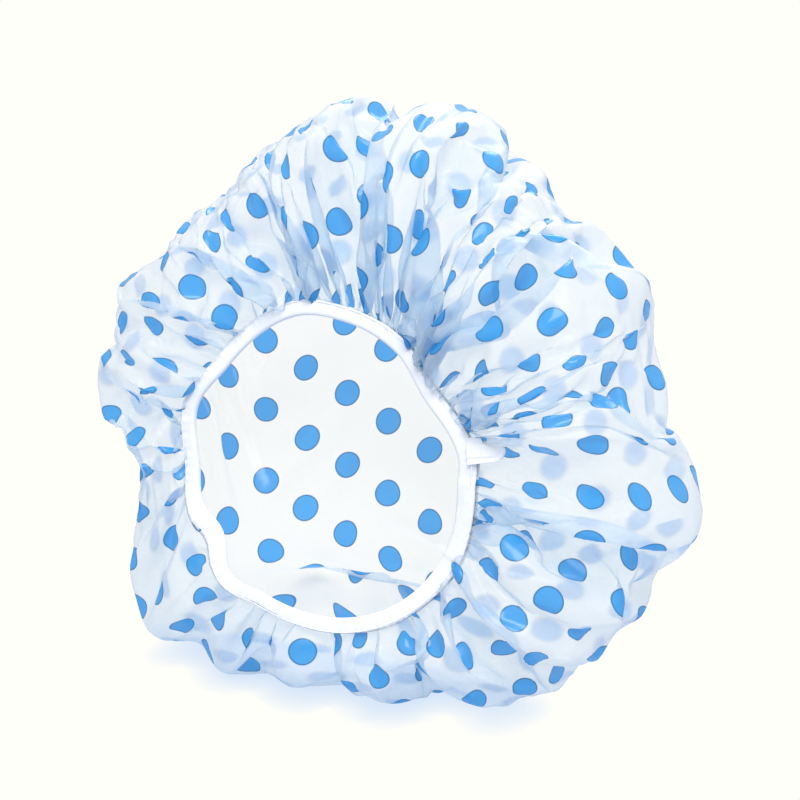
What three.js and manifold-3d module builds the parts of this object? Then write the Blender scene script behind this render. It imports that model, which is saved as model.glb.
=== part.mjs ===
// A bouffant shower cap: one disc of thin frosted film, gathered into an elastic binding and puffed out.
// It stands on its lower edge with the opening to the front. Millimetres, +Z up, the opening faces -Y.
import * as THREE from 'three';
import { mergeVertices } from 'three/addons/utils/BufferGeometryUtils.js';
import Module from 'manifold-3d';

const wasm = await Module();
wasm.setup();

const TURN = 2 * Math.PI;

// The mouth: the closed line that the binding follows, and where its middle stands over the floor.
const MOUTH_RADIUS = 64;
const MOUTH_X = -13;
const MOUTH_Y = -43.4;
const MOUTH_HEIGHT = 102;
const MOUTH_LEAN_ANGLE = 0.17;
const MOUTH_WAVE = 2.5;           // the binding waves out of its plane by this much

// The film: a thin disc whose gathered shape runs from the crown over the puff to the mouth.
const FILM_THICKNESS = 0.12;
const FILM_SIDES = 60;
const PUFF_REACH = 130;           // from the mouth's middle out to the widest line of the puff
const PUFF_BACK = 34;             // the widest line lies this far behind the mouth
const SHOULDER_AHEAD = 13;        // the film swells this far to the front before it turns in to the mouth
const HEEL_BACK = 58;             // the lowest part of the puff spreads back to here, under the crown
const TOE_BACK = 6;
const CROWN_DEPTH = 72;           // from the mouth back to the middle of the crown
const CROWN_SHIFT_X = 10;         // the disc's middle lies beside and above the mouth's
const CROWN_SHIFT_Z = 52;
const CROWN_DOME = 4;
const CROWN_LEAN_ANGLE = 0.45;
const FOLD_DEPTH = 8;             // how far the highest of the main folds stands out of the shoulder

// The binding: a tape folded over the film's edge, with the elastic in its fold.
const TAPE_WIDTH = 8;
const TAPE_THICKNESS = 0.4;
const ELASTIC_WIDTH = 4.6;
const ELASTIC_THICKNESS = 0.7;
const PIECE_GAP = 0.3;            // clearance between pieces that lie on each other
const LIP_INSET = 1.6;            // from the tape's folded edge to the film's cut edge
const BINDING_STEPS = 120;
const BEND_POINTS = 5;            // points round each side of the tape's fold

// The tape's free end stands out of the loop as a short tail where its ends are joined, and the film is drawn
// in there, in a deep crease.
const JOINT_ANGLE = 0.17;
const TAIL_LENGTH = 13;           // out from the tape's open edge
const TAIL_THICKNESS = 1;
const TAIL_ROOT = 3;              // back over the tape, fused to its front leaf
const TAIL_BITE = 0.2;
const TAIL_CORNER = 2.5;
const TAIL_CORNER_POINTS = 4;
const CREASE_HALF_ANGLE = 0.18;
const CREASE_DEPTH = 16;

// The threads: a seam near the tape's open edge, front and back, and a tack of close passes at the joint.
const THREAD_DIAMETER = 0.4;
const THREAD_SIDES = 4;
const SEAM_INSET = 1.5;           // from the tape's open edge to the seam
const STITCH_COUNT = 120;
const STITCH_RISE = 0.2;
const TACK_ANGLE = -0.12;
const TACK_WIDTH = 3.6;
const TACK_PITCH = 1;
const TACK_PASSES = 6;
const TACK_OUTWARD = -0.8;
const TACK_STEPS = 48;

// Stations round the mouth as [degrees, share]: the puff's lobes as shares of its reach, the main folds of the
// shoulder as shares of their depth, and the stretched, slightly angular mouth as shares of its radius.
const reachShares = [
  [0, 1.1], [17, 0.9], [33, 1.05], [45, 0.94], [64, 0.99], [76, 1.06], [94, 1.05], [110, 0.95],
  [128, 0.87], [150, 0.9], [170, 0.91], [184, 0.82], [198, 0.68], [212, 1.02], [224, 1.06],
  [236, 1.04], [248, 0.86], [270, 0.8], [290, 0.8], [310, 0.92], [330, 0.99], [346, 1.1],
];
const foldShares = [
  [0, 0.2], [12, 0], [30, 0.15], [48, 0.45], [60, 0.25], [72, 0.6], [84, 0.95], [96, 0.4], [108, 0.8],
  [122, 0.15], [150, 0.15], [168, 0.3], [180, 0.15], [194, -0.2], [204, 0.1], [217, 1], [228, 0.75],
  [240, 0.8], [254, 0.35], [266, 0.15], [276, 0.35], [288, 0.15], [300, 0.45], [312, 0.1], [326, 0.2],
  [336, 0.15], [347, 0.85],
];
const mouthShares = [
  [0, 0.96], [13, 0.97], [40, 0.84], [64, 0.89], [88, 0.95], [108, 1.0], [146, 0.98], [166, 1.06],
  [186, 1.03], [203, 1.06], [215, 0.98], [230, 1.05], [246, 0.98], [280, 1.0], [312, 1.0], [338, 0.98],
];
// One section of the film, as shares of the reach outward and, behind the widest line, of the crown's depth.
const crownEdgeShares = [0.8, 0.87];
const upperShares = [0.96, 0.45];
const lowerShare = 0.93;
const swellShare = 0.42;
// The same where the puff stands on the floor: the crown ends sooner, over a broad heel and toe.
const heelEdgeShares = [0.6, 0.95];
const heelShare = 0.965;
const toeShare = 0.98;
// The film's rings, as shares of one span between the points of a section, and how much of the folds' depth
// each ring has.
const ringShares = [1, 2, 2.6, 3.3, 4, 4.7, 5.4, 6.2, 7];
const ringFoldShares = [0, 0.1, 0.2, 0.4, 0.5, 0.7, 1, 0.8, 0];

// A smooth closed function of the angle, through [degrees, share] stations.
function around(stationShares, angle) {
  const count = stationShares.length;
  const degrees = THREE.MathUtils.euclideanModulo(THREE.MathUtils.radToDeg(angle), 360);
  const first = stationShares.findLastIndex(([at]) => at <= degrees);
  const station = (offset) => stationShares[(first + offset + count) % count];
  const span = THREE.MathUtils.euclideanModulo(station(1)[0] - station(0)[0], 360);
  const t = (degrees - station(0)[0]) / span;
  const [before, from, to, after] = [-1, 0, 1, 2].map((offset) => station(offset)[1]);
  const slopeIn = (to - before) / 2;
  const slopeOut = (after - from) / 2;
  const bend = 3 * (to - from) - 2 * slopeIn - slopeOut;
  const ease = slopeIn + slopeOut - 2 * (to - from);
  return from + t * (slopeIn + t * (bend + t * ease));
}

// The binding's middle line, and a point of its cross-section at outward and forward from that line.
const ahead = new THREE.Vector3(0, -Math.cos(MOUTH_LEAN_ANGLE), Math.sin(MOUTH_LEAN_ANGLE));
const mouthUp = new THREE.Vector3(0, Math.sin(MOUTH_LEAN_ANGLE), Math.cos(MOUTH_LEAN_ANGLE));
const mouthMiddle = new THREE.Vector3(MOUTH_X, MOUTH_Y, MOUTH_HEIGHT);

function mouthPoint(angle) {
  const radius = MOUTH_RADIUS * around(mouthShares, angle);
  const wave = MOUTH_WAVE * (Math.sin(3 * angle + 1) + 0.5 * Math.sin(5 * angle));
  const point = mouthMiddle.clone();
  point.x += radius * Math.cos(angle);
  return point.addScaledVector(mouthUp, radius * Math.sin(angle)).addScaledVector(ahead, wave);
}

function outwardAt(angle) {
  const step = TURN / BINDING_STEPS;
  const along = mouthPoint(angle + step).sub(mouthPoint(angle - step));
  return along.cross(ahead).normalize();
}

function bindingPoint(angle, outward, forward) {
  return mouthPoint(angle).addScaledVector(outwardAt(angle), outward).addScaledVector(ahead, forward);
}

// A surface through rows of points, each row a closed loop. It closes into a ring, or starts in a point and
// may end in one. From the turned row on, its faces split along the other diagonal, so that the two skins of a
// folded sheet have the same facets.
function loftGeometry(rows, start, end, turned = rows.length) {
  const sides = rows[0].length;
  const index = [];
  const spans = start ? rows.length - 1 : rows.length;
  for (let row = 0; row < spans; row += 1) {
    const next = (row + 1) % rows.length;
    for (let side = 0; side < sides; side += 1) {
      const beside = (side + 1) % sides;
      const [a, b] = [row * sides + side, row * sides + beside];
      const [c, d] = [next * sides + beside, next * sides + side];
      index.push(...(row < turned ? [a, b, c, a, c, d] : [a, b, d, b, c, d]));
    }
  }
  const points = rows.flat();
  for (let side = 0; side < sides; side += 1) {
    const beside = (side + 1) % sides;
    const last = (rows.length - 1) * sides;
    if (start) {
      index.push(points.length, beside, side);
    }
    if (end) {
      index.push(points.length + 1, last + side, last + beside);
    }
  }
  const geometry = new THREE.BufferGeometry().setFromPoints([...points, start, end].filter(Boolean));
  geometry.setIndex(index);
  geometry.computeVertexNormals();
  return geometry;
}

// Turns every face of a closed geometry over if it encloses a negative volume.
function facingOut(geometry) {
  const index = geometry.index.array;
  const corner = (i) => new THREE.Vector3().fromBufferAttribute(geometry.attributes.position, index[i]);
  let volume = 0;
  for (let i = 0; i < index.length; i += 3) {
    volume += corner(i).dot(corner(i + 1).cross(corner(i + 2)));
  }
  if (volume < 0) {
    for (let i = 0; i < index.length; i += 3) {
      [index[i], index[i + 1]] = [index[i + 1], index[i]];
    }
  }
  geometry.computeVertexNormals();
  return geometry;
}

// A cross-section of [outward, forward] pairs swept once round the mouth. It may change from step to step.
function bandGeometry(steps, sectionAt) {
  const rows = [];
  for (let step = 0; step < steps; step += 1) {
    const angle = TURN * step / steps;
    rows.push(sectionAt(step).map(([outward, forward]) => bindingPoint(angle, outward, forward)));
  }
  return facingOut(loftGeometry(rows));
}

function solidOf(geometry) {
  const bare = geometry.clone();
  bare.deleteAttribute('normal');
  bare.deleteAttribute('uv');
  const merged = mergeVertices(bare);
  return new wasm.Manifold(new wasm.Mesh({
    numProp: 3,
    vertProperties: Float32Array.from(merged.attributes.position.array),
    triVerts: Uint32Array.from(merged.index.array),
  }));
}

function geometryOf(solid) {
  const mesh = solid.getMesh();
  const geometry = new THREE.BufferGeometry();
  geometry.setAttribute('position', new THREE.BufferAttribute(mesh.vertProperties, 3));
  geometry.setIndex(new THREE.BufferAttribute(mesh.triVerts, 1));
  geometry.computeVertexNormals();
  return geometry;
}

// The stack inside the tape's fold, from the front: leaf, gap, elastic, gap, film, gap, leaf.
const channelHalf = (ELASTIC_THICKNESS + FILM_THICKNESS + 3 * PIECE_GAP) / 2;
const tapeHalf = channelHalf + TAPE_THICKNESS;
const tapeEdge = TAPE_WIDTH / 2;
const elasticFront = channelHalf - PIECE_GAP;
const filmFront = elasticFront - ELASTIC_THICKNESS - PIECE_GAP;

// The film. Each section is a smooth curve from the crown's middle, over the puff's widest line and its
// swelling shoulder, to where the film enters the binding. Its cut edge lies inside the fold of the tape.
const crownBack = (height) => CROWN_DEPTH + Math.tan(CROWN_LEAN_ANGLE) * height;
const crownMiddle = mouthMiddle.clone();
crownMiddle.add(new THREE.Vector3(CROWN_SHIFT_X, crownBack(CROWN_SHIFT_Z), CROWN_SHIFT_Z));

function filmSection(angle) {
  const reach = PUFF_REACH * around(reachShares, angle);
  const direction = new THREE.Vector3(Math.cos(angle), 0, Math.sin(angle));
  const place = (reachShare, back) => {
    const point = mouthMiddle.clone().addScaledVector(direction, reach * reachShare);
    point.y += back;
    return point;
  };
  const low = Math.max(0, -Math.sin(angle)) ** 2;
  const blend = (share, lowShare) => THREE.MathUtils.lerp(share, lowShare, low);
  const edgeShare = blend(crownEdgeShares[0], heelEdgeShares[0]);
  const depthShare = blend(crownEdgeShares[1], heelEdgeShares[1]);
  const crownEdge = place(edgeShare, depthShare * crownBack(edgeShare * reach * Math.sin(angle)));
  const crown = crownMiddle.clone().lerp(crownEdge, 1 / 2);
  crown.y += CROWN_DOME;
  const [upperShare, riseShare] = upperShares;
  const upperBack = THREE.MathUtils.lerp(PUFF_BACK, crownBack(reach * Math.sin(angle)), riseShare);
  const neck = bindingPoint(angle, tapeEdge + PIECE_GAP, filmFront);
  const swell = neck.clone().lerp(place(1, 0), swellShare);
  const fromJoint = THREE.MathUtils.euclideanModulo(angle - JOINT_ANGLE + Math.PI, TURN) - Math.PI;
  swell.y += CREASE_DEPTH * Math.exp(-((fromJoint / CREASE_HALF_ANGLE) ** 2)) - SHOULDER_AHEAD;
  return new THREE.CatmullRomCurve3([
    crownMiddle,
    crown,
    crownEdge,
    place(blend(upperShare, heelShare), blend(upperBack, HEEL_BACK)),
    place(1, PUFF_BACK - SHOULDER_AHEAD),
    place(blend(lowerShare, toeShare), blend(0, TOE_BACK)),
    swell,
    neck,
  ], false, 'centripetal');
}

function makeFilm() {
  const outer = [...ringShares, 0].map(() => []);
  for (let side = 0; side < FILM_SIDES; side += 1) {
    const angle = TURN * side / FILM_SIDES;
    const section = filmSection(angle);
    const sideways = new THREE.Vector3(-Math.sin(angle), 0, Math.cos(angle));
    ringShares.forEach((spans, ring) => {
      const along = spans / (section.points.length - 1);
      const away = section.getTangent(along).cross(sideways);
      const fold = FOLD_DEPTH * ringFoldShares[ring] * around(foldShares, angle);
      const point = section.getPoint(along).addScaledVector(away, fold);
      point.z = Math.max(point.z, 0);
      outer[ring].push(point);
    });
    outer.at(-1).push(bindingPoint(angle, LIP_INSET - tapeEdge, filmFront));
  }
  const skin = loftGeometry(outer, crownMiddle).attributes.normal;
  const inner = outer.map((row, ring) => row.map((point, side) => {
    const normal = new THREE.Vector3().fromBufferAttribute(skin, ring * FILM_SIDES + side);
    return point.clone().addScaledVector(normal, -FILM_THICKNESS);
  }));
  const innerMiddle = crownMiddle.clone();
  innerMiddle.y -= FILM_THICKNESS;
  const skins = [...outer, ...inner.reverse()];
  return facingOut(loftGeometry(skins, crownMiddle, innerMiddle, outer.length));
}

// The tape: folded over the film's edge, open outward, with its free end fused to the front at the joint.
function makeTape() {
  const bendMiddle = tapeHalf - tapeEdge;
  const bend = (radius, sense) => Array.from({ length: BEND_POINTS }, (_, i) => {
    const turn = Math.PI * (0.5 + i / (BEND_POINTS - 1));
    return [bendMiddle + radius * Math.cos(turn), sense * radius * Math.sin(turn)];
  });
  const section = [
    [tapeEdge, tapeHalf], ...bend(tapeHalf, 1), [tapeEdge, -tapeHalf],
    [tapeEdge, -channelHalf], ...bend(channelHalf, -1), [tapeEdge, channelHalf],
  ];
  const loop = solidOf(bandGeometry(BINDING_STEPS, () => section));

  const half = tapeEdge;
  const tip = TAIL_LENGTH + TAIL_ROOT;
  const outline = new THREE.Shape();
  outline.moveTo(0, -half);
  outline.lineTo(tip - TAIL_CORNER, -half);
  outline.absarc(tip - TAIL_CORNER, TAIL_CORNER - half, TAIL_CORNER, -Math.PI / 2, 0, false);
  outline.absarc(tip - TAIL_CORNER, half - TAIL_CORNER, TAIL_CORNER, 0, Math.PI / 2, false);
  outline.lineTo(0, half);
  const tail = new THREE.ExtrudeGeometry(outline, {
    depth: TAIL_THICKNESS, bevelEnabled: false, curveSegments: TAIL_CORNER_POINTS,
  });
  const out = outwardAt(JOINT_ANGLE);
  const frame = new THREE.Matrix4().makeBasis(out, ahead.clone().cross(out), ahead);
  frame.setPosition(bindingPoint(JOINT_ANGLE, tapeEdge - TAIL_ROOT, tapeHalf - TAIL_BITE));
  tail.applyMatrix4(frame);
  return geometryOf(loop.add(solidOf(tail)));
}

// The elastic: a flat band in the fold, in front of the film.
function makeElastic() {
  const inner = tapeHalf - tapeEdge;
  const outer = inner + ELASTIC_WIDTH;
  const back = elasticFront - ELASTIC_THICKNESS;
  const section = [[inner, back], [outer, back], [outer, elasticFront], [inner, elasticFront]];
  return bandGeometry(BINDING_STEPS, () => section);
}

// A seam's thread, which rises and falls with its stitches. Side is 1 on the front, where it also passes over
// the tail, and -1 on the back.
function makeSeam(side) {
  const radius = THREAD_DIAMETER / 2;
  const outward = tapeEdge - SEAM_INSET;
  const steps = 2 * STITCH_COUNT;
  const tailSteps = Math.ceil(tapeEdge / (TURN * MOUTH_RADIUS / steps)) + 1;
  const jointStep = Math.round(steps * JOINT_ANGLE / TURN);
  return bandGeometry(steps, (step) => {
    const onTail = side > 0 && Math.abs(step - jointStep) <= tailSteps;
    const seat = tapeHalf + PIECE_GAP + (onTail ? TAIL_THICKNESS - TAIL_BITE : 0);
    const forward = side * (seat + radius + (step % 2) * STITCH_RISE);
    return Array.from({ length: THREAD_SIDES }, (_, i) => {
      const turn = TURN * i / THREAD_SIDES;
      return [outward + radius * Math.cos(turn), forward + radius * Math.sin(turn)];
    });
  });
}

// The tack: close parallel passes of thread across the tape, joined by round turns.
function makeTack() {
  const half = TACK_WIDTH / 2;
  const forward = tapeHalf + PIECE_GAP + THREAD_DIAMETER / 2;
  const points = [];
  for (let pass = 0; pass < TACK_PASSES; pass += 1) {
    const sense = pass % 2 ? -1 : 1;
    const at = (outward, along) => {
      const angle = TACK_ANGLE - along * TACK_PITCH / MOUTH_RADIUS;
      return bindingPoint(angle, TACK_OUTWARD + outward, forward);
    };
    points.push(at(-sense * half, pass), at(sense * half, pass));
    if (pass < TACK_PASSES - 1) {
      points.push(at(sense * (half + TACK_PITCH / 2), pass + 1 / 2));
    }
  }
  const section = new THREE.Shape();
  section.absarc(0, 0, THREAD_DIAMETER / 2, 0, TURN, false);
  return new THREE.ExtrudeGeometry(section, {
    steps: TACK_STEPS,
    extrudePath: new THREE.CatmullRomCurve3(points, false, 'centripetal'),
    curveSegments: THREAD_SIDES + 1,
  });
}

const filmMaterial = new THREE.MeshStandardMaterial({
  color: 0xe9f2fd, roughness: 0.45, transparent: true, opacity: 0.5,
});
const tapeMaterial = new THREE.MeshStandardMaterial({ color: 0xfafbfd, roughness: 0.85 });
const elasticMaterial = new THREE.MeshStandardMaterial({ color: 0xefefea, roughness: 0.7 });
const threadMaterial = new THREE.MeshStandardMaterial({ color: 0xf6f7fa, roughness: 0.6 });

const cap = new THREE.Group();
function addPiece(name, geometry, material) {
  const mesh = new THREE.Mesh(geometry, material);
  mesh.name = name;
  cap.add(mesh);
}
addPiece('cap_film', makeFilm(), filmMaterial);
addPiece('binding_tape', makeTape(), tapeMaterial);
addPiece('elastic_band', makeElastic(), elasticMaterial);
addPiece('needle_thread', makeSeam(1), threadMaterial);
addPiece('bobbin_thread', makeSeam(-1), threadMaterial);
addPiece('joint_tack', makeTack(), threadMaterial);

export default cap;
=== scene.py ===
import math

import bmesh
import bpy
import numpy as np
from mathutils import Matrix, Vector


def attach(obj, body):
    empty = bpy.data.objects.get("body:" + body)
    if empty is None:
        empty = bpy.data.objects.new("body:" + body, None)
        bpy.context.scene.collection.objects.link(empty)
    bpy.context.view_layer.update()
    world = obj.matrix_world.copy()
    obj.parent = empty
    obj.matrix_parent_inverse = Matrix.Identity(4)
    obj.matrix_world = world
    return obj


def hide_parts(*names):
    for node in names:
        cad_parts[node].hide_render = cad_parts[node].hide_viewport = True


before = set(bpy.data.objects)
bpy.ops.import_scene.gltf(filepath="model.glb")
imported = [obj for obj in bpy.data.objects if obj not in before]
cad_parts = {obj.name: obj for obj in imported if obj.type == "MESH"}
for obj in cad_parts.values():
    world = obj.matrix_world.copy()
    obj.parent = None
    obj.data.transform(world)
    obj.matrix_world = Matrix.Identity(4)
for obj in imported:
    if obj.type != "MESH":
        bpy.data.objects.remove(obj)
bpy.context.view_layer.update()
scene = bpy.context.scene
scene.view_settings.view_transform = "Standard"
TURN = 2 * math.pi


def add_object(name, data):
    """Puts an object with this data into the scene, at the origin and untransformed."""
    made = bpy.data.objects.new(name, data)
    scene.collection.objects.link(made)
    return made


def add_mesh(name, mesh):
    """Turns a bmesh into an object of the scene, and frees it."""
    data = bpy.data.meshes.new(name)
    mesh.to_mesh(data)
    mesh.free()
    return add_object(name, data)


# The camera stands to the right of the opening and above it, as the photograph's did, and looks down on the
# cap a little. Its place is in metres.
CAMERA_AZIMUTH = math.radians(27)
CAMERA_ELEVATION = math.radians(15)
CAMERA_AT = (0.3379, -0.6701, 0.3214)
CAMERA_LENS = 85.0

back_x = math.sin(CAMERA_AZIMUTH) * math.cos(CAMERA_ELEVATION)
back_y = -math.cos(CAMERA_AZIMUTH) * math.cos(CAMERA_ELEVATION)
view_back = Vector((back_x, back_y, math.sin(CAMERA_ELEVATION)))
view_right = Vector((math.cos(CAMERA_AZIMUTH), math.sin(CAMERA_AZIMUTH), 0))
camera = add_object("camera", bpy.data.cameras.new("camera"))
turned = Matrix((view_right, view_back.cross(view_right), view_back)).transposed().to_4x4()
camera.matrix_world = Matrix.Translation(CAMERA_AT) @ turned
camera.data.sensor_width = 36
camera.data.lens = CAMERA_LENS
scene.camera = camera

# The film: frosted PEVA sheet, one round cut 550 mm across, printed with staggered blue dots. It hangs from
# its gathered rim and is puffed out with air. The flat cut is drawn into the form that the CAD film has, by
# a cloth simulation that keeps its lengths, so that its folds and dots lie as the real ones do.
# Lengths are in millimetres and angles in radians. A list named SHARES goes round the mouth from the right,
# in pairs of degrees and a share of the length that it varies.
MOUTH = np.array([-13.0, -43.4, 102.0])      # the mouth's middle
MOUTH_RADIUS = 64.0
MOUTH_WAVE = 2.5                             # the binding waves out of its plane by this much
MOUTH_LEAN = 0.17
PUFF_REACH = 130.0                           # from the mouth's middle out to the widest line
PUFF_BACK = 34.0                             # and from the mouth back to it
SHOULDER_AHEAD = 13.0                        # the film swells this far to the front before it turns in
HEEL_BACK = 58.0                             # the floor bears the puff from here
TOE_BACK = 6.0                               # to here
UPPER_SHARE, UPPER_SHARE_LOW = 0.96, 0.005   # shares of the reach, and what the bottom adds to them
LOWER_SHARE, LOWER_SHARE_LOW = 0.93, 0.05
EDGE_SHARE, EDGE_SHARE_LOW = 0.8, -0.2       # where the crown ends
EDGE_DEPTH, EDGE_DEPTH_LOW = 0.87, 0.08      # and how deep, as a share of the crown's depth
UPPER_BACK_SHARE = 0.45                      # of the way from the widest line back to the crown
SWELL_SHARE = 0.42                           # of the way from the neck out to the widest line
CROWN_DEPTH = 72.0
CROWN_SHIFT_X, CROWN_SHIFT_Z = 10.0, 52.0
CROWN_DOME = 4.0
CROWN_LEAN = 0.45
TAPE_EDGE = 4.0                              # half the tape's width
NECK_GAP = 0.3                               # the film turns this far outside the tape
LIP_INSET = 1.6                              # and its cut edge ends this far inside the tape's fold
FILM_DEPTH = -0.5                            # the film lies this far behind the binding's middle
JOINT_ANGLE = 0.17
CREASE_HALF_ANGLE = 0.18                     # the deep crease that runs out from the joint
CREASE_DEPTH = 16.0
REACH_SHARES = [
    (0, 1.11), (17, 0.9), (33, 1.04), (45, 0.93), (64, 0.99), (76, 1.08), (94, 1.07), (110, 0.94),
    (128, 0.88), (150, 0.91), (170, 0.89), (184, 0.78), (198, 0.66), (212, 1.05), (224, 1.08),
    (236, 1.06), (248, 0.87), (261, 0.8), (270, 0.72), (280, 0.8), (291, 0.82), (310, 0.94),
    (330, 0.99), (340, 1.04), (350, 1.11)]
MOUTH_SHARES = [
    (0, 0.96), (13, 0.97), (40, 0.84), (64, 0.89), (88, 0.95), (108, 1.0), (146, 0.98), (166, 1.06),
    (186, 1.03), (203, 1.06), (215, 0.98), (230, 1.05), (246, 0.98), (280, 1.0), (312, 1.0), (338, 0.98)]
TAPE_WIDTH_SHARES = [
    (0, 1.0), (20, 0.97), (50, 0.84), (90, 0.8), (130, 0.77), (180, 0.77), (198, 0.85), (208, 1.12),
    (218, 1.12), (230, 0.8), (242, 0.64), (256, 0.66), (275, 0.76), (305, 0.88), (335, 1.0)]
AHEAD = np.array([0, -math.cos(MOUTH_LEAN), math.sin(MOUTH_LEAN)])
MOUTH_UP = np.array([0, math.sin(MOUTH_LEAN), math.cos(MOUTH_LEAN)])


def around(stations, angle):
    """A smooth closed function of the angles, through stations of degrees and share."""
    at, share = np.array(stations, float).T
    count = len(at)
    degrees = np.mod(np.degrees(angle), 360)
    first = np.searchsorted(at, degrees, side="right") - 1
    span = np.mod(at[(first + 1) % count] - at[first], 360)
    t = (degrees - at[first]) / span
    before, start, end, after = (share[(first + k) % count] for k in (-1, 0, 1, 2))
    slope_in, slope_out = (end - before) / 2, (after - start) / 2
    bend = 3 * (end - start) - 2 * slope_in - slope_out
    ease = slope_in + slope_out - 2 * (end - start)
    return start + t * (slope_in + t * (bend + t * ease))


def mouth_line(angle):
    """The middle line of the binding."""
    radius = MOUTH_RADIUS * around(MOUTH_SHARES, angle)
    wave = MOUTH_WAVE * (np.sin(3 * angle + 1) + 0.5 * np.sin(5 * angle))
    across = np.outer(radius * np.cos(angle), [1, 0, 0]) + np.outer(radius * np.sin(angle), MOUTH_UP)
    return MOUTH + across + np.outer(wave, AHEAD)


def binding_point(angle, outward, forward):
    """Points of the binding's cross-section, outward and forward from its middle line."""
    near = TURN / 120
    side = np.cross(mouth_line(angle + near) - mouth_line(angle - near), AHEAD)
    side /= np.linalg.norm(side, axis=1)[:, None]
    outward = np.broadcast_to(outward, angle.shape)
    forward = np.broadcast_to(forward, angle.shape)
    return mouth_line(angle) + side * outward[:, None] + np.outer(forward, AHEAD)


def crown_back(height):
    """How far behind the mouth the leaning crown lies, at a height over the mouth's middle."""
    return CROWN_DEPTH + math.tan(CROWN_LEAN) * height


def low_side(angle):
    """1 at the bottom, falling to 0 at the sides."""
    return np.maximum(0, -np.sin(angle)) ** 2


def from_joint(angle):
    return np.mod(angle - JOINT_ANGLE + math.pi, TURN) - math.pi


CROWN_MIDDLE = MOUTH + np.array([CROWN_SHIFT_X, crown_back(CROWN_SHIFT_Z), CROWN_SHIFT_Z])


def film_sections(angle):
    """The nine points that each section of the film runs through, from the crown's middle to its rim."""
    reach = PUFF_REACH * around(REACH_SHARES, angle)
    direction = np.stack([np.cos(angle), 0 * angle, np.sin(angle)], 1)

    def place(share, back):
        point = MOUTH + direction * (reach * share)[:, None]
        point[:, 1] += back
        return point

    low = low_side(angle)
    edge_share, depth_share = EDGE_SHARE + EDGE_SHARE_LOW * low, EDGE_DEPTH + EDGE_DEPTH_LOW * low
    edge = place(edge_share, depth_share * crown_back(edge_share * reach * np.sin(angle)))
    middle = np.broadcast_to(CROWN_MIDDLE, edge.shape)
    crown = (middle + edge) / 2 + [0, CROWN_DOME, 0]
    upper_back = PUFF_BACK + (crown_back(reach * np.sin(angle)) - PUFF_BACK) * UPPER_BACK_SHARE
    neck = binding_point(angle, TAPE_EDGE + NECK_GAP, FILM_DEPTH)
    swell = neck + (place(1 + 0 * low, 0) - neck) * SWELL_SHARE
    swell[:, 1] += CREASE_DEPTH * np.exp(-(from_joint(angle) / CREASE_HALF_ANGLE) ** 2) - SHOULDER_AHEAD
    lip = binding_point(angle, LIP_INSET - TAPE_EDGE, FILM_DEPTH)
    upper = place(UPPER_SHARE + UPPER_SHARE_LOW * low, upper_back + (HEEL_BACK - upper_back) * low)
    lower = place(LOWER_SHARE + LOWER_SHARE_LOW * low, TOE_BACK * low)
    widest = place(1 + 0 * low, PUFF_BACK - SHOULDER_AHEAD)
    return np.stack([middle, crown, edge, upper, widest, lower, swell, neck, lip], 1)


def film_form(angle, share):
    """Points at a share of each section's length, their outward directions and their stations, 0 to 8."""
    knots = film_sections(angle)
    spans = np.linalg.norm(np.diff(knots, axis=1), axis=2)
    run = np.concatenate([np.zeros((len(knots), 1)), np.cumsum(spans, 1)], 1)
    at = share * run[:, -1]
    each = np.arange(len(knots))
    i = np.clip((run[:, :-1] <= at[:, None]).sum(1) - 1, 0, 7)
    t = ((at - run[each, i]) / spans[each, i])[:, None]
    before, start = knots[each, np.maximum(i - 1, 0)], knots[each, i]
    end, after = knots[each, i + 1], knots[each, np.minimum(i + 2, 8)]
    span = spans[each, i][:, None]
    span_before = spans[each, np.maximum(i - 1, 0)][:, None]
    span_after = spans[each, np.minimum(i + 1, 7)][:, None]

    def slope(a, b, c, first, second):
        return span * ((b - a) * second / first + (c - b) * first / second) / (first + second)

    slope_in = slope(before, start, end, span_before, span)
    slope_out = slope(start, end, after, span, span_after)
    slope_in = np.where((i == 0)[:, None] | (i == 7)[:, None], end - start, slope_in)
    slope_out = np.where((i >= 6)[:, None], end - start, slope_out)
    rise, fall = end - start, slope_in + slope_out
    point = start + t * (slope_in + t * (3 * rise - slope_in - fall + t * (fall - 2 * rise)))
    along = slope_in + t * (2 * (3 * rise - slope_in - fall) + 3 * t * (fall - 2 * rise))
    sideways = np.stack([-np.sin(angle), 0 * angle, np.cos(angle)], 1)
    away = np.cross(along, sideways)
    away /= np.linalg.norm(away, axis=1)[:, None] + 1e-9
    return point, away, i + t[:, 0]


# The flat cut. Its middle lies on the crown where every section comes out about as long as the cut's radius.
# The crown is laid from the cut without stretch, and the rest is drawn up between the crown and the rim. A
# section's stations run from 0 at the crown's middle over 4 at the widest line and 7 at the tape to 8 at the
# rim.
DISC_RADIUS = 275.0
FILM_GRID = 128
CREASE_DEGREES = [17, 45, 66, 88, 108, 128, 148, 170, 196, 216, 234, 252, 270, 300, 322, 345]
LOBE_DEPTH = 9.0                             # the puff bulges by this much between two creases
LOBE_RISE, LOBE_DROP = 1.6, 1.35             # a crease drops by the second share, a crest rises from it
LOBE_SHARES = [(0, 1.2), (45, 0.9), (75, 0.35), (110, 0.3), (150, 0.45), (185, 1.1), (215, 1.1), (270, 0.9),
               (320, 1.1)]
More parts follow.
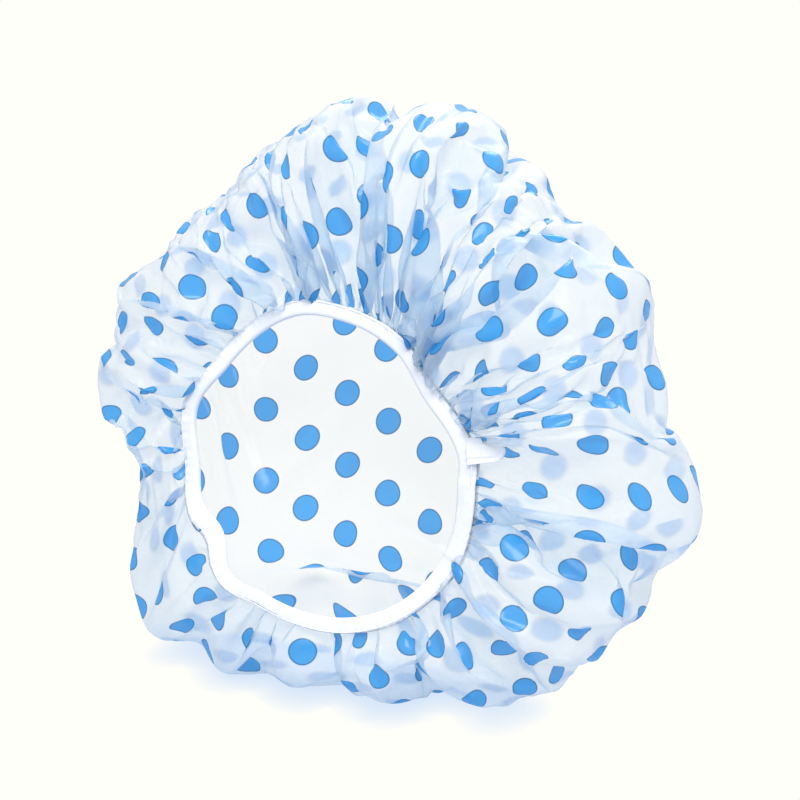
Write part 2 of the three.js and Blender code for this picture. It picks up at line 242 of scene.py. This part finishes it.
# Where the film lies taut and smooth, out to the widest line.
SMOOTH_SHARES = [(0, 0), (85, 0), (110, 1), (135, 1), (158, 1), (178, 0), (270, 0)]
CROWN_FLAT_SHARE = 0.9                       # the crown is laid flat out to this share of its reach
CROWN_SLACK_LOW = 0.25                       # and less far at the bottom
DRAWN_RIGHT = 0.2                            # the share of the gathers that is drawn over to the joint's side
TUCK_AHEAD, TUCK_UP = 17.0, 17.0             # the fold that stands up in front of the crown's lower edge
TUCK_STATION, TUCK_HALF_WIDTH = 2.45, 0.24
SECOND_TUCK = 9.0                            # a lower fold in front of the first one
SECOND_STATION, SECOND_HALF_WIDTH = 2.98, 0.17
TUCK_CRUMPLE = 3.0                           # the tucks' front is crumpled by this much
PLEAT_COUNT = 108                            # fine pleats that the elastic draws up beside the tape
PLEAT_DEPTH = 1.6
GATHER_COUNT = 37                            # and the wider folds that run on from them over the shoulder
GATHER_DEPTH = 3.5
GATHER_SHARE, GATHER_SHARE_LOW = 0.65, 0.35  # the gathers are deeper at the bottom than at the top
RIM_WAVE = 1.6                               # the cut edge runs to and fro by this much inside the tape
RIM_OUT = 0.4
FLOOR_GAP = 0.4
TURN_SAMPLES = 721

turns = np.linspace(0, TURN, TURN_SAMPLES)
knots = film_sections(turns)
outward = knots[:, 2] - knots[:, 0]
turns_on_crown = np.unwrap(np.arctan2(outward[:, 2] / math.cos(CROWN_LEAN), outward[:, 0]))
crown_reach = np.linalg.norm(np.diff(knots[:, :3], axis=1), axis=2).sum(1)
crown_reach *= CROWN_FLAT_SHARE - CROWN_SLACK_LOW * low_side(turns)
section_length = np.linalg.norm(np.diff(knots, axis=1), axis=2).sum(1)
even = np.stack([np.ones(TURN_SAMPLES), np.cos(turns_on_crown), np.sin(turns_on_crown)], 1)
disc_shift = np.linalg.lstsq(even, section_length, rcond=None)[0][1:]

# A square grid, whose rings of squares are turned into circles, is the cut. Each of its points has a way out
# from the crown's middle, and a share of the section's length in that direction.
film_mesh = bmesh.new()
bmesh.ops.create_grid(film_mesh, x_segments=FILM_GRID, y_segments=FILM_GRID, size=1.0)
square = np.array([vert.co[:2] for vert in film_mesh.verts])
ring_share = np.abs(square).max(1)
wide = np.abs(square[:, 0]) > np.abs(square[:, 1])
long_side = np.where(wide, square[:, 0], square[:, 1])
long_side = np.where(long_side == 0, 1, long_side)
turn_in_ring = math.pi / 4 * np.where(wide, square[:, 1], square[:, 0]) / long_side
turn_in_ring = np.where(wide, turn_in_ring, math.pi / 2 - turn_in_ring)
signed = np.where(long_side > 0, ring_share, -ring_share) * DISC_RADIUS
cut = np.stack([signed * np.cos(turn_in_ring), signed * np.sin(turn_in_ring)], 1)

from_crown = cut + disc_shift
distance = np.linalg.norm(from_crown, axis=1)
way = np.arctan2(from_crown[:, 1], from_crown[:, 0])
angle = np.interp(way, turns_on_crown, turns, period=TURN)
isometric = np.interp(angle, turns, crown_reach)
length = np.interp(angle, turns, section_length)
along_shift = disc_shift[0] * np.cos(way) + disc_shift[1] * np.sin(way)
to_rim = along_shift + np.sqrt(DISC_RADIUS ** 2 - disc_shift @ disc_shift + along_shift ** 2)
past_crown = (distance - isometric) * (length - isometric) / (to_rim - isometric)
run_out = np.where(distance < isometric, distance, isometric + past_crown)
drawn_over = np.clip(past_crown / (length - isometric), 0, 1)
angle = angle - DRAWN_RIGHT * drawn_over * np.sin(angle)
gathered, away, station = film_form(angle, np.minimum(run_out / length, 1))

# Relief on the smooth form: lobes between the creases, pleats and gathers that run on from the tape, two
# tucks inside the mouth's lower edge, and the wave of the cut edge inside the tape.
creases = np.array(CREASE_DEGREES)
crease_ends = np.concatenate([creases[-1:] - 360, creases, creases[:1] + 360])
place_in_lobes = np.interp(np.mod(np.degrees(angle), 360), crease_ends, np.arange(len(crease_ends)))
lobe = np.abs(np.sin(math.pi * place_in_lobes))
lobe_depth = LOBE_DEPTH * np.interp(station, [0.8, 2, 2.6, 3.3, 4, 4.7, 5.4, 6.2, 7],
                                    [0, 0.35, 0.6, 0.9, 1, 1.05, 1, 0.7, 0]) * around(LOBE_SHARES, angle)
pleat = np.sin(PLEAT_COUNT * angle + 2 * np.sin(3 * angle))
pleat_depth = PLEAT_DEPTH * np.interp(station, [4.5, 6, 6.6, 7], [0, 1, 0.7, 0.03])
gather = np.sin(GATHER_COUNT * angle + 1.5 * np.sin(4 * angle) + 0.8 * np.sin(9 * angle))
gather_depth = GATHER_DEPTH * np.interp(station, [4.2, 5.3, 6.2, 6.9], [0, 1, 0.8, 0])
gather_depth *= GATHER_SHARE - GATHER_SHARE_LOW * np.sin(angle)
low = low_side(angle)
tuck = low * np.exp(-((station - TUCK_STATION - 0.08 * np.sin(11 * angle)) / TUCK_HALF_WIDTH) ** 2)
tuck *= 1 + 0.3 * np.sin(9 * angle + 1) + 0.25 * np.sin(19 * angle)
relief_out = lobe_depth * (LOBE_RISE * lobe - LOBE_DROP) + pleat_depth * pleat + gather_depth * gather
gathered += away * relief_out[:, None]
gathered += np.outer(tuck, TUCK_AHEAD * AHEAD + [0, 0, TUCK_UP])
from_second = station - SECOND_STATION - 0.1 * np.sin(8 * angle + 2)
second_tuck = low * np.exp(-(from_second / SECOND_HALF_WIDTH) ** 2)
gathered += np.outer(second_tuck * (1 + 0.4 * np.sin(13 * angle)), SECOND_TUCK * (AHEAD + [0, 0, 1]))
tuck_front = low * np.interp(station, [2.2, 2.5, 3.2, 3.6], [0, 1, 1, 0])
crumple = np.sin(19 * angle + 2 * np.sin(5 * angle) + 6 * station) + 0.6 * np.sin(31 * angle - 9 * station)
gathered += np.outer(TUCK_CRUMPLE * tuck_front * crumple, AHEAD)
past_neck = np.interp(station, [7, 8], [0, 1])
in_tape = past_neck * (RIM_WAVE * pleat + RIM_OUT)
in_tape += past_neck * TAPE_EDGE * (1 - around(TAPE_WIDTH_SHARES, angle))
gathered += in_tape[:, None] * (binding_point(angle, 1, 0) - mouth_line(angle))
gathered[:, 2] = np.maximum(gathered[:, 2], FLOOR_GAP)
spread = np.stack([from_crown[:, 0] + CROWN_MIDDLE[0], np.full(len(cut), CROWN_MIDDLE[1] - 20),
                   from_crown[:, 1] + CROWN_MIDDLE[2]], 1)

flat_layer = film_mesh.loops.layers.uv.new("flat")
for face in film_mesh.faces:
    for loop in face.loops:
        loop[flat_layer].uv = cut[loop.vert.index] / 1000
for vert, place in zip(film_mesh.verts, spread):
    vert.co = place / 1000
film = add_mesh("film_sheet", film_mesh)
film_data = film.data

GATHER_FRAMES = 24
SETTLE_FRAMES = 24
HOLD_SHARE = 0.3                             # how firmly the soft hold keeps a point to the gathered form
PIN_STIFFNESS = 30
FILM_STIFFNESS, FILM_SHEAR, FILM_BENDING = 15, 5, 6
AIR_PRESSURE = 0.5


def gather_film():
    """Draws the flat cut into its gathered form with Cloth, puffs it out and returns where it settles."""
    film.shape_key_add(name="flat")
    drawn = film.shape_key_add(name="gathered")
    drawn.data.foreach_set("co", (gathered / 1000).astype(np.float32).ravel())
    drawn.value = 0
    drawn.keyframe_insert("value", frame=1)
    drawn.value = 1
    drawn.keyframe_insert("value", frame=GATHER_FRAMES)
    held = film.vertex_groups.new(name="held")
    crown_hold = np.interp(station + 0.8 * low, [0, 1.5, 2.5], [1, 1, 0])
    joint_hold = 2 * np.exp(-(from_joint(angle) / CREASE_HALF_ANGLE) ** 2)
    joint_hold *= np.interp(station, [4, 5.2, 7], [0, 1, 1])
    crest_hold = lobe ** 3 * np.interp(station, [1.5, 2.5, 5, 6, 7], [0, 1, 1, 0.5, 0])
    smooth_hold = around(SMOOTH_SHARES, angle) * np.interp(station, [2.2, 3, 4.6, 5.4], [0, 1, 1, 0])
    holds = [crown_hold, crest_hold, joint_hold, 2 * tuck, 2.7 * tuck_front, smooth_hold]
    hold = np.where(station >= 7, 1, HOLD_SHARE * np.max(holds, axis=0))
    for index, weight in enumerate(hold):
        held.add([index], float(weight), "REPLACE")
    cloth = film.modifiers.new("Cloth", "CLOTH")
    settings = cloth.settings
    settings.quality = 5
    settings.mass = 0.1
    settings.air_damping = 2
    settings.tension_stiffness = settings.compression_stiffness = FILM_STIFFNESS
    settings.shear_stiffness = FILM_SHEAR
    settings.bending_stiffness = FILM_BENDING
    settings.vertex_group_mass = "held"
    settings.pin_stiffness = PIN_STIFFNESS
    settings.effector_weights.gravity = 0
    settings.use_pressure = True
    settings.uniform_pressure_force = AIR_PRESSURE
    cloth.collision_settings.use_collision = False
    last = GATHER_FRAMES + SETTLE_FRAMES
    cloth.point_cache.frame_start, cloth.point_cache.frame_end = 1, last
    scene.frame_end = last
    for moment in range(1, last + 1):
        scene.frame_set(moment)
    settled = film.evaluated_get(bpy.context.evaluated_depsgraph_get()).to_mesh()
    places = np.empty(len(settled.vertices) * 3, np.float32)
    settled.vertices.foreach_get("co", places)
    film.modifiers.remove(cloth)
    film.shape_key_clear()
    film.vertex_groups.clear()
    scene.frame_set(1)
    return places.reshape(-1, 3)


settled_film = gather_film()
settled_film[:, 2] = np.maximum(settled_film[:, 2], FLOOR_GAP / 1000)
film_data.vertices.foreach_set("co", settled_film.ravel())
film_data.update()
film_data.shade_smooth()
film_smooth = film.modifiers.new("smooth", "SUBSURF")
film_smooth.levels = film_smooth.render_levels = 1


def linear(hex_colour):
    """An sRGB hex value as the linear colour that Blender's sockets take."""
    parts = [((hex_colour >> shift) & 255) / 255 for shift in (16, 8, 0)]
    return [c / 12.92 if c <= 0.04045 else ((c + 0.055) / 1.055) ** 2.4 for c in parts] + [1]


def new_material(name):
    material = bpy.data.materials.new(name)
    material.use_nodes = True
    material.node_tree.nodes.clear()
    return material, material.node_tree


def add_node(tree, kind, inputs, **settings):
    """Adds a node with its settings. Inputs are values, or the outputs that are linked to them."""
    node = tree.nodes.new(kind)
    for name, value in settings.items():
        setattr(node, name, value)
    for socket, value in inputs.items():
        if isinstance(value, bpy.types.NodeSocket):
            tree.links.new(value, node.inputs[socket])
        else:
            node.inputs[socket].default_value = value
    return node


# Frosted PEVA film, calendered and flexo printed: a milky, slightly glossy skin that lets light and the
# layers behind show through. A dot seen through another layer is blurred and pale. Film that lies deep in a
# fold gets a painted pale blue shade in its colour.
DOT_RADIUS = 6.0
DOT_ROW = 24.2                               # millimetres from dot to dot along a row
DOT_ROW_ANGLE = math.radians(-24.4)
DOT_STEP = 26.2                              # and from row to row
DOT_STEP_ANGLE = math.radians(-124.9)
DOT_START = np.array([-20.4, -67.3])         # the middle of one of the dots on the flat cut
DOT_EDGE = 0.08                              # half the width of a dot's edge
DOT_BLUR = 1.6                               # and what it grows by behind another layer
DOT_FADE = 0.35                              # the share of its ink that a dot loses there
INK_OPACITY = 0.93
FILM_MILK, FILM_MILK_ASIDE = 0.27, 0.34      # how opaque the film is from in front, and what it gains aslant
FOLD_SHADE_REACH = 0.045                           # metres: film that lies nearer than this darkens a fold with painted pale blue shade
film_finish, tree = new_material("frosted_peva_film")
flat_uv = add_node(tree, "ShaderNodeUVMap", {}, uv_map="flat").outputs["UV"]
from_start = add_node(tree, "ShaderNodeVectorMath", {
    0: flat_uv, 1: (*(DOT_START / -1000), 0)}, operation="ADD").outputs[0]
dot_row = DOT_ROW * np.array([math.cos(DOT_ROW_ANGLE), math.sin(DOT_ROW_ANGLE)])
dot_step = DOT_STEP * np.array([math.cos(DOT_STEP_ANGLE), math.sin(DOT_STEP_ANGLE)])
across_lattice = np.linalg.inv(np.stack([dot_row, dot_step], 1)) * 1000
offsets = []
for over, along in zip(across_lattice, (dot_row, dot_step)):
    count = add_node(tree, "ShaderNodeVectorMath", {0: from_start, 1: (*over, 0)}, operation="DOT_PRODUCT")
    nearest = add_node(tree, "ShaderNodeMath", {0: count.outputs["Value"]}, operation="ROUND")
    off_dot = add_node(tree, "ShaderNodeMath", {0: count.outputs["Value"], 1: nearest.outputs[0]},
                       operation="SUBTRACT")
    offsets.append(add_node(tree, "ShaderNodeVectorMath", {0: (*along, 0), "Scale": off_dot.outputs[0]},
                            operation="SCALE").outputs[0])
from_dot = add_node(tree, "ShaderNodeVectorMath", {0: offsets[0], 1: offsets[1]}, operation="ADD").outputs[0]
to_dot = add_node(tree, "ShaderNodeVectorMath", {0: from_dot}, operation="LENGTH").outputs["Value"]
depth = add_node(tree, "ShaderNodeLightPath", {}).outputs["Transparent Depth"]
behind = add_node(tree, "ShaderNodeMath", {0: depth, 1: 1.0}, operation="MINIMUM").outputs[0]
blur = add_node(tree, "ShaderNodeMath", {0: behind, 1: DOT_BLUR, 2: DOT_EDGE},
                operation="MULTIPLY_ADD").outputs[0]
strength = add_node(tree, "ShaderNodeMath", {0: behind, 1: -DOT_FADE, 2: 1.0},
                    operation="MULTIPLY_ADD").outputs[0]
rim_in = add_node(tree, "ShaderNodeMath", {0: DOT_RADIUS, 1: blur}, operation="SUBTRACT").outputs[0]
rim_out = add_node(tree, "ShaderNodeMath", {0: DOT_RADIUS, 1: blur}, operation="ADD").outputs[0]
ink = add_node(tree, "ShaderNodeMapRange", {
    "Value": to_dot, "From Min": rim_in, "From Max": rim_out, "To Min": strength, "To Max": 0.0},
    interpolation_type="SMOOTHSTEP").outputs[0]
rim_line = add_node(tree, "ShaderNodeMapRange", {
    "Value": to_dot, "From Min": 0.86 * DOT_RADIUS, "From Max": 0.91 * DOT_RADIUS}).outputs[0]
ink_colour = add_node(tree, "ShaderNodeMix", {0: rim_line, 6: linear(0x3aa4e2), 7: linear(0x3580ae)},
                      data_type="RGBA").outputs[2]
# Painted shade: ambient occlusion mixes the film's colour towards pale blue where other film lies near, deep
# in the folds.
fold_shade_occlusion = add_node(tree, "ShaderNodeAmbientOcclusion", {"Distance": FOLD_SHADE_REACH}, samples=4).outputs["AO"]
fold_open = add_node(tree, "ShaderNodeMapRange", {
    "Value": fold_shade_occlusion, "From Min": 0.1, "From Max": 0.7}).outputs[0]
painted_fold_shade = add_node(tree, "ShaderNodeMix", {0: fold_open, 6: linear(0xcfe3f0), 7: linear(0xf7f6f3)},
                data_type="RGBA").outputs[2]
print_and_fold_shade_colour = add_node(tree, "ShaderNodeMix", {0: ink, 6: painted_fold_shade, 7: ink_colour},
                       data_type="RGBA").outputs[2]
turned_away = add_node(tree, "ShaderNodeLayerWeight", {"Blend": 0.4}).outputs["Facing"]
milkiness = add_node(tree, "ShaderNodeMath", {0: turned_away, 1: FILM_MILK_ASIDE, 2: FILM_MILK},
                     operation="MULTIPLY_ADD").outputs[0]
opacity = add_node(tree, "ShaderNodeMapRange", {
    "Value": ink, "To Min": milkiness, "To Max": INK_OPACITY}).outputs[0]
crinkle = add_node(tree, "ShaderNodeTexNoise", {
    "Vector": flat_uv, "Scale": 90.0, "Detail": 2.0, "Roughness": 0.5})
relief = add_node(tree, "ShaderNodeBump", {
    "Height": crinkle.outputs[0], "Strength": 0.2, "Distance": 0.0015}).outputs[0]
skin = add_node(tree, "ShaderNodeBsdfPrincipled", {
    "Base Color": print_and_fold_shade_colour, "Roughness": 0.2, "IOR": 1.5, "Normal": relief})
glow = add_node(tree, "ShaderNodeBsdfTranslucent", {"Color": print_and_fold_shade_colour, "Normal": relief})
milky = add_node(tree, "ShaderNodeMixShader", {0: 0.4, 1: skin.outputs[0], 2: glow.outputs[0]})
tint = add_node(tree, "ShaderNodeMix", {0: behind, 6: (0.965, 0.97, 0.98, 1), 7: (0.9, 0.955, 0.99, 1)},
                data_type="RGBA").outputs[2]
clear = add_node(tree, "ShaderNodeBsdfTransparent", {"Color": tint})
body = add_node(tree, "ShaderNodeMixShader", {0: opacity, 1: clear.outputs[0], 2: milky.outputs[0]})
add_node(tree, "ShaderNodeOutputMaterial", {"Surface": body.outputs[0]})
film_data.materials.append(film_finish)
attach(film, "root")
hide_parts("cap_film")

# The binding: a soft white woven tape folded over the film's edge, gathered by the elastic inside it. It is
# pushed round the mouth as one folded section that swells and puckers a little from gather to gather, and
# it lies double where its ends are joined.
TAPE_HALF = 1.26                             # half the thickness of the folded tape
TAPE_LEAF = 0.4                              # and the thickness of one leaf
TAPE_STEPS = 480
TAPE_SIDES = 40
TAPE_SWELL = 0.45                            # how far a leaf stands out along its middle
TAPE_PUCKER, TAPE_RUMPLE = 0.15, 0.14        # the fine and the wide waves in its face
PUCKER_COUNT, RUMPLE_COUNT = 130, 47
DOUBLE_RISE = 0.35                           # a leaf's rise over the joint
DOUBLE_FLAT = 0.7                            # where the pucker loses this share
JOINT_START, JOINT_END = math.radians(-28), math.radians(3)


def tape_edge(angle):
    """Half the tape's width, which is drawn in where the elastic is tightest."""
    return TAPE_EDGE * around(TAPE_WIDTH_SHARES, angle)


def tape_puff(angle, outward):
    """How far a leaf of the tape stands out past its flat fold."""
    swell = TAPE_SWELL * np.cos(math.pi * outward / (2.2 * TAPE_EDGE))
    pucker = TAPE_PUCKER * np.sin(PUCKER_COUNT * angle + 2 * np.sin(7 * angle))
    pucker = pucker + TAPE_RUMPLE * np.sin(RUMPLE_COUNT * angle + 3 * np.sin(4 * angle))
    turned = np.mod(angle + math.pi, TURN) - math.pi
    doubled = np.clip((turned - JOINT_START) * 90, 0, 1) * np.clip((JOINT_END - turned) * 90, 0, 1)
    pucker = pucker * (1 - DOUBLE_FLAT * doubled) * np.clip(0.5 + outward / TAPE_EDGE, 0, 1.5)
    return swell + pucker + DOUBLE_RISE * doubled


def tape_place(angle, share):
    """The folded tape: out along its front leaf's face, back inside the fold, and the same behind."""
    half = tape_edge(angle)
    fold = half - TAPE_HALF
    straight, bend = 2 * half - TAPE_HALF, math.pi * TAPE_HALF
    spans = [0 * half, straight, bend + 0 * half, straight, TAPE_LEAF + 0 * half, straight, bend + 0 * half,
             straight, TAPE_LEAF + 0 * half]
    ends = np.cumsum(spans, axis=0)
    at = np.mod(share, 1) * ends[-1]
    inner = TAPE_HALF - TAPE_LEAF

    def turn(start):
        return math.pi * (at - start) / bend

    outward = np.select([at < end for end in ends[1:]], [
        half - at,
        -fold - TAPE_HALF * np.sin(turn(ends[1])),
        -fold + at - ends[2],
        half,
        half - (at - ends[4]),
        -fold - inner * np.sin(turn(ends[5])),
        -fold + at - ends[6],
        half], half)
    forward = np.select([at < end for end in ends[1:]], [
        TAPE_HALF + 0 * at,
        TAPE_HALF * np.cos(turn(ends[1])),
        -TAPE_HALF + 0 * at,
        -TAPE_HALF + at - ends[3],
        -inner + 0 * at,
        -inner * np.cos(turn(ends[5])),
        inner + 0 * at,
        inner + at - ends[7]], TAPE_HALF)
    forward = forward + np.sign(forward) * tape_puff(angle, outward)
    outward = outward + 0.2 * np.sin(11 * angle + 1) * (outward > 0)
    return binding_point(angle, outward, forward)


# A grid that runs round the mouth and round the section, closed at both seams, is the fold.
tape_mesh = bmesh.new()
bmesh.ops.create_grid(tape_mesh, x_segments=TAPE_STEPS, y_segments=TAPE_SIDES, size=0.5)
shares = np.array([vert.co[:2] for vert in tape_mesh.verts]) + 0.5
for vert, place in zip(tape_mesh.verts, tape_place(TURN * shares[:, 0], shares[:, 1])):
    vert.co = place / 1000
bmesh.ops.remove_doubles(tape_mesh, verts=tape_mesh.verts, dist=1e-6)
bmesh.ops.recalc_face_normals(tape_mesh, faces=tape_mesh.faces)
tape = add_mesh("binding_tape_fold", tape_mesh)
tape.data.shade_smooth()

# The tape's free end, cut round and folded flat, which stands out over the film at the joint.
TAIL_LENGTH = 13.0                           # out from the tape's open edge
TAIL_ROOT = 3.0                              # and back over the tape
TAIL_THICKNESS = 1.0
TAIL_TIP = 4.5                               # its end is rounded over this length
TAIL_TAPER = 0.15
TAIL_HALF = 5.2                              # half its width
TAIL_RISE = 3.8                              # its middle lies this far over the joint
TAIL_LIFT, TAIL_WAVE, TAIL_TILT = 0.8, 0.5, 0.15
TAIL_BEVEL = 0.25
ELASTIC_HALF = 2.6                           # the end of the elastic shows through the tail as a low step
ELASTIC_STEP = 0.45
ELASTIC_SOFT = 0.5                           # the step rises over this width
tail_mesh = bmesh.new()
bmesh.ops.create_grid(tail_mesh, x_segments=44, y_segments=28, size=0.5)
sheet_faces = bmesh.ops.extrude_face_region(tail_mesh, geom=tail_mesh.faces[:])["geom"]
raised = [part for part in sheet_faces if isinstance(part, bmesh.types.BMVert)]
bmesh.ops.translate(tail_mesh, verts=raised, vec=(0, 0, 1))
for vert in tail_mesh.verts:
    run = (vert.co.x + 0.5) * (TAIL_LENGTH + TAIL_ROOT)
    in_tip = max(0, run - (TAIL_LENGTH + TAIL_ROOT - TAIL_TIP)) / TAIL_TIP
    half = TAIL_HALF * (1 - TAIL_TAPER * run / TAIL_LENGTH) * math.sqrt(max(0.06, 1 - in_tip ** 2.6))
    vert.co = (run, 2 * half * vert.co.y + TAIL_RISE, TAIL_THICKNESS * vert.co.z)
bmesh.ops.recalc_face_normals(tail_mesh, faces=tail_mesh.faces)
rim_edges = [edge for edge in tail_mesh.edges if edge.calc_face_angle(0) > 1]
bmesh.ops.bevel(tail_mesh, geom=rim_edges, offset=TAIL_BEVEL, affect="EDGES", segments=3, profile=0.5,
                material=-1)
joint = np.array([JOINT_ANGLE])
root = binding_point(joint, TAPE_EDGE - TAIL_ROOT, TAPE_HALF)[0]
out = binding_point(joint, 1, 0)[0] - binding_point(joint, 0, 0)[0]
beside = np.cross(AHEAD, out)
for vert in tail_mesh.verts:
    run, across, up = vert.co
    past_elastic = max(0, run - TAIL_LENGTH - TAIL_ROOT + 2 * ELASTIC_HALF)
    inside = ELASTIC_HALF - math.hypot(past_elastic, across - TAIL_RISE)
    lift = TAIL_LIFT + TAIL_WAVE * math.sin(run / 6) - TAIL_TILT * (across - TAIL_RISE)
    lift += ELASTIC_STEP * min(1, max(0, inside / ELASTIC_SOFT + 0.5))
    vert.co = (root + out * run + beside * across + AHEAD * (up + lift)) / 1000
tail = add_mesh("binding_tape_tail", tail_mesh)
tail.data.shade_smooth()

# Woven polyester tape, bleached: matt, with a weave so fine that it only takes the shine off. It is drawn
# coarser than it is, so that it shows in the render.
tape_finish, tree = new_material("woven_polyester_tape")
on_object = add_node(tree, "ShaderNodeTexCoord", {}).outputs["Object"]
weave = add_node(tree, "ShaderNodeTexNoise", {"Vector": on_object, "Scale": 1500.0, "Detail": 2.0})
tape_relief = add_node(tree, "ShaderNodeBump", {
    "Height": weave.outputs[0], "Strength": 0.25, "Distance": 0.0003}).outputs[0]
cloth_skin = add_node(tree, "ShaderNodeBsdfPrincipled", {
    "Base Color": linear(0xeeeeef), "Roughness": 0.8, "Normal": tape_relief})
add_node(tree, "ShaderNodeOutputMaterial", {"Surface": cloth_skin.outputs[0]})
for piece in (tape, tail):
    piece.data.materials.append(tape_finish)
    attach(piece, "root")
    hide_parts("binding_tape")

# The carried-over threads and elastic: spun polyester thread and a covered rubber band, both matt, with the
# twist of their fibres drawn coarser than it is.
for node, name, colour, rough in (("elastic_band", "covered_elastic", 0xefefea, 0.7),
                                  ("needle_thread", "spun_thread_front", 0xf4f5f8, 0.6),
                                  ("bobbin_thread", "spun_thread_back", 0xf4f5f8, 0.6),
                                  ("joint_tack", "spun_thread_tack", 0xf4f5f8, 0.6)):
    finish, tree = new_material(name)
    on_object = add_node(tree, "ShaderNodeTexCoord", {}).outputs["Object"]
    twist = add_node(tree, "ShaderNodeTexNoise", {"Vector": on_object, "Scale": 3000.0})
    strand_relief = add_node(tree, "ShaderNodeBump", {
        "Height": twist.outputs[0], "Strength": 0.3, "Distance": 0.0001}).outputs[0]
    strand = add_node(tree, "ShaderNodeBsdfPrincipled", {
        "Base Color": linear(colour), "Roughness": rough, "Normal": strand_relief})
    add_node(tree, "ShaderNodeOutputMaterial", {"Surface": strand.outputs[0]})
    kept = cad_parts[node]
    if kept.material_slots:
        kept.material_slots[0].material = finish
    else:
        kept.data.materials.append(finish)

# The floor: a plain white sweep that shows the camera white, but for a pale blue shade where the cap rests.
SHADE_REACH = 0.012                          # metres
floor_mesh = bmesh.new()
bmesh.ops.create_grid(floor_mesh, x_segments=1, y_segments=1, size=6.0)
floor = add_mesh("floor", floor_mesh)
floor_finish, tree = new_material("matt_white_sweep")
camera_ray = add_node(tree, "ShaderNodeLightPath", {}).outputs["Is Camera Ray"]
openness = add_node(tree, "ShaderNodeAmbientOcclusion", {"Distance": SHADE_REACH}, samples=8).outputs["AO"]
shade = add_node(tree, "ShaderNodeMix", {0: openness, 6: linear(0xd2e3f9), 7: linear(0xfffffa)},
                 data_type="RGBA").outputs[2]
matt = add_node(tree, "ShaderNodeBsdfPrincipled", {"Base Color": linear(0xa4b2ca), "Roughness": 0.9})
lit = add_node(tree, "ShaderNodeEmission", {"Color": shade, "Strength": 1.0})
sweep = add_node(tree, "ShaderNodeMixShader", {0: camera_ray, 1: matt.outputs[0], 2: lit.outputs[0]})
add_node(tree, "ShaderNodeOutputMaterial", {"Surface": sweep.outputs[0]})
floor.data.materials.append(floor_finish)

# Plain soft studio light: an even white room and two large lamps, one high in front and one behind.
room = bpy.data.worlds.new("white_room")
scene.world = room
room.use_nodes = True
tree = room.node_tree
tree.nodes.clear()
rays = add_node(tree, "ShaderNodeLightPath", {})
lit_room = add_node(tree, "ShaderNodeBackground", {"Color": linear(0xf8f8f9), "Strength": 0.82})
seen_room = add_node(tree, "ShaderNodeBackground", {"Color": linear(0xfffffa), "Strength": 1.0})
room_mix = add_node(tree, "ShaderNodeMixShader", {
    0: rays.outputs["Is Camera Ray"], 1: lit_room.outputs[0], 2: seen_room.outputs[0]})
add_node(tree, "ShaderNodeOutputWorld", {"Surface": room_mix.outputs[0]})
for name, place, size, power in (("key_lamp", (0.5, -0.9, 1.3), 0.8, 19),
                                 ("rim_lamp", (-0.2, 1.0, 1.1), 0.9, 15)):
    lamp = bpy.data.lights.new(name, "AREA")
    lamp.size = size
    lamp.energy = power
    stand = add_object(name, lamp)
    stand.location = place
    stand.rotation_euler = (Vector((0, 0, 0.1)) - Vector(place)).to_track_quat("-Z", "Y").to_euler()
